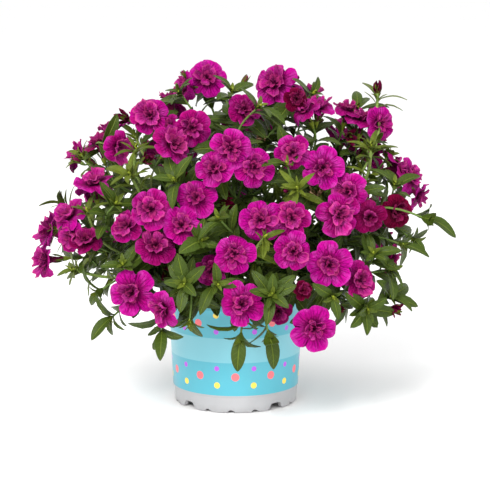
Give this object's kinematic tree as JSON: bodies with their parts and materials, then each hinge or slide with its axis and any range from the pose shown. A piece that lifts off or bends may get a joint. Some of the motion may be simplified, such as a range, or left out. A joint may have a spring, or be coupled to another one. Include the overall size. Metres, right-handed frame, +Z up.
{
  "type": "potted calibrachoa",
  "caption": "Double-flowered calibrachoa in full bloom: a loose mound of ruffled magenta trumpet flowers and small leaves on wiry stems, rooted in the mix of a round plastic nursery pot.",
  "frame": {"origin": "middle of the part's footprint, on the pot's axis, at the surface that the pot stands on", "axes": "+Z up, +X to the right as seen from the front, the front of the plant faces -Y"},
  "size_m": [0.3351, 0.2601, 0.2733],
  "materials": {
    "printed_plastic": null,
    "potting_mix": "moist crumbly peat and bark mix",
    "foliage": "matt, slightly hairy green leaves and stems",
    "petals": "velvety magenta petals with darker veins and salmon-pink inner ruffles"
  },
  "bodies": {
    "root": {"bloom_01": "petals", "bloom_02": "petals", "bloom_03": "petals", "bloom_04": "petals", "bloom_05": "petals", "bloom_06": "petals", "bloom_07": "petals", "bloom_08": "petals", "bloom_09": "petals", "bloom_10": "petals", "bloom_11": "petals", "bloom_12": "petals", "bloom_13": "petals", "bloom_14": "petals", "bloom_15": "petals", "bloom_16": "petals", "bloom_17": "petals", "bloom_18": "petals", "bloom_19": "petals", "bloom_20": "petals", "bloom_21": "petals", "bloom_22": "petals", "bloom_23": "petals", "bloom_24": "petals", "bloom_25": "petals", "bloom_26": "petals", "bloom_27": "petals", "bloom_28": "petals", "bloom_29": "petals", "bloom_30": "petals", "bloom_31": "petals", "bloom_32": "petals", "bloom_33": "petals", "bloom_34": "petals", "bloom_35": "petals", "bloom_36": "petals", "bloom_37": "petals", "bloom_38": "petals", "bloom_39": "petals", "bloom_40": "petals", "bloom_41": "petals", "bloom_42": "petals", "bloom_43": "petals", "bloom_44": "petals", "bloom_45": "petals", "bloom_46": "petals", "bloom_47": "petals", "leafy_stem_01": "foliage", "leafy_stem_02": "foliage", "leafy_stem_03": "foliage", "leafy_stem_04": "foliage", "leafy_stem_05": "foliage", "leafy_stem_06": "foliage", "leafy_stem_07": "foliage", "leafy_stem_08": "foliage", "leafy_stem_09": "foliage", "leafy_stem_10": "foliage", "pot": "printed_plastic", "soil": "potting_mix"}
  },
  "joints": []
}
